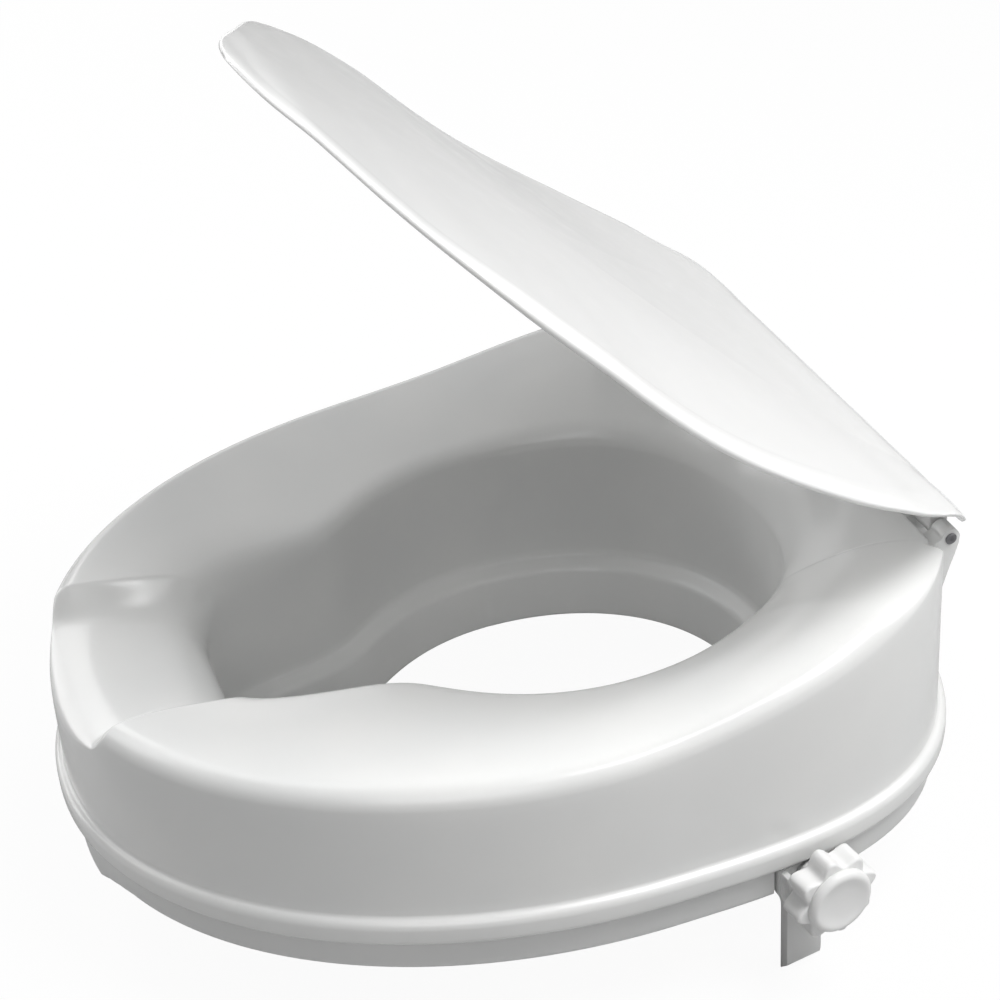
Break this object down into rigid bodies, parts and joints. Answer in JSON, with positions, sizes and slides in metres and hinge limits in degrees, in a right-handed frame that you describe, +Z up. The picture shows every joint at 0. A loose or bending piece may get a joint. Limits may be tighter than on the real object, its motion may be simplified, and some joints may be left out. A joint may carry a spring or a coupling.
{
  "type": "raised toilet seat",
  "caption": "Raised toilet seat with a contoured rim, splash spigot, front recess, hinged lid and screw-tightened side clamps that grip the bowl.",
  "frame": {"origin": "in the middle of the width and length, level with the lower ends of the clamp arms", "axes": "+Z up, -Y towards the front of the seat, +X towards the sitter's left"},
  "size_m": [0.3984, 0.4078, 0.3985],
  "materials": {
    "seat_white": "glossy moulded",
    "base_white": "semi-gloss moulded",
    "lid_white": "glossy moulded",
    "clamp_white": "satin moulded",
    "knob_white": "semi-gloss moulded",
    "grip_rubber": "matte",
    "buffer_rubber": "matte",
    "pin_steel": "dark oxide",
    "screw_steel": "stainless"
  },
  "bodies": {
    "seat": {"seat_shell": "seat_white", "base_plate": "base_white", "shell_posts": "base_white", "base_screws": "screw_steel", "rest_pads": "grip_rubber", "hinge_boss_left": "seat_white", "hinge_boss_right": "seat_white", "hinge_pin_left": "pin_steel", "hinge_pin_right": "pin_steel", "nut_block_left": "base_white", "nut_block_right": "base_white", "nut_left": "screw_steel", "nut_right": "screw_steel"},
    "lid": {"lid_shell": "lid_white", "lid_knuckle_left": "lid_white", "lid_knuckle_right": "lid_white", "lid_buffers": "buffer_rubber"},
    "clamp_left": {"bracket_left": "clamp_white", "jaw_pad_left": "grip_rubber"},
    "clamp_right": {"bracket_right": "clamp_white", "jaw_pad_right": "grip_rubber"},
    "knob_left": {"wheel_left": "knob_white", "crown_left": "knob_white", "stud_left": "screw_steel", "stud_ring_left": "screw_steel", "washer_left": "screw_steel"},
    "knob_right": {"wheel_right": "knob_white", "crown_right": "knob_white", "stud_right": "screw_steel", "stud_ring_right": "screw_steel", "washer_right": "screw_steel"}
  },
  "joints": [
    {"name": "lid_hinge", "type": "hinge", "parent": "seat", "child": "lid", "pos_m": [0, 0.1862, 0.1617], "axis": [-1, 0, 0], "range_deg": [-44.3, 60.2]},
    {"name": "clamp_slide_left", "type": "slide", "parent": "seat", "child": "clamp_left", "axis": [0.9877, 0.1564, 0], "range_m": [0, 0.012]},
    {"name": "knob_spin_left", "type": "hinge", "parent": "clamp_left", "child": "knob_left", "pos_m": [0.1715, 0.0869, 0.0567], "axis": [0.9877, 0.1564, 0], "range_deg": [0, 4320]},
    {"name": "clamp_slide_right", "type": "slide", "parent": "seat", "child": "clamp_right", "axis": [-0.9877, 0.1564, 0], "range_m": [0, 0.012]},
    {"name": "knob_spin_right", "type": "hinge", "parent": "clamp_right", "child": "knob_right", "pos_m": [-0.1715, 0.0869, 0.0567], "axis": [-0.9877, 0.1564, 0], "range_deg": [0, 4320]}
  ],
  "couplings": [
    {"joint": "clamp_slide_left", "follows": "knob_spin_left", "m_per_rad": 0.00015915},
    {"joint": "clamp_slide_right", "follows": "knob_spin_right", "m_per_rad": 0.00015915}
  ]
}
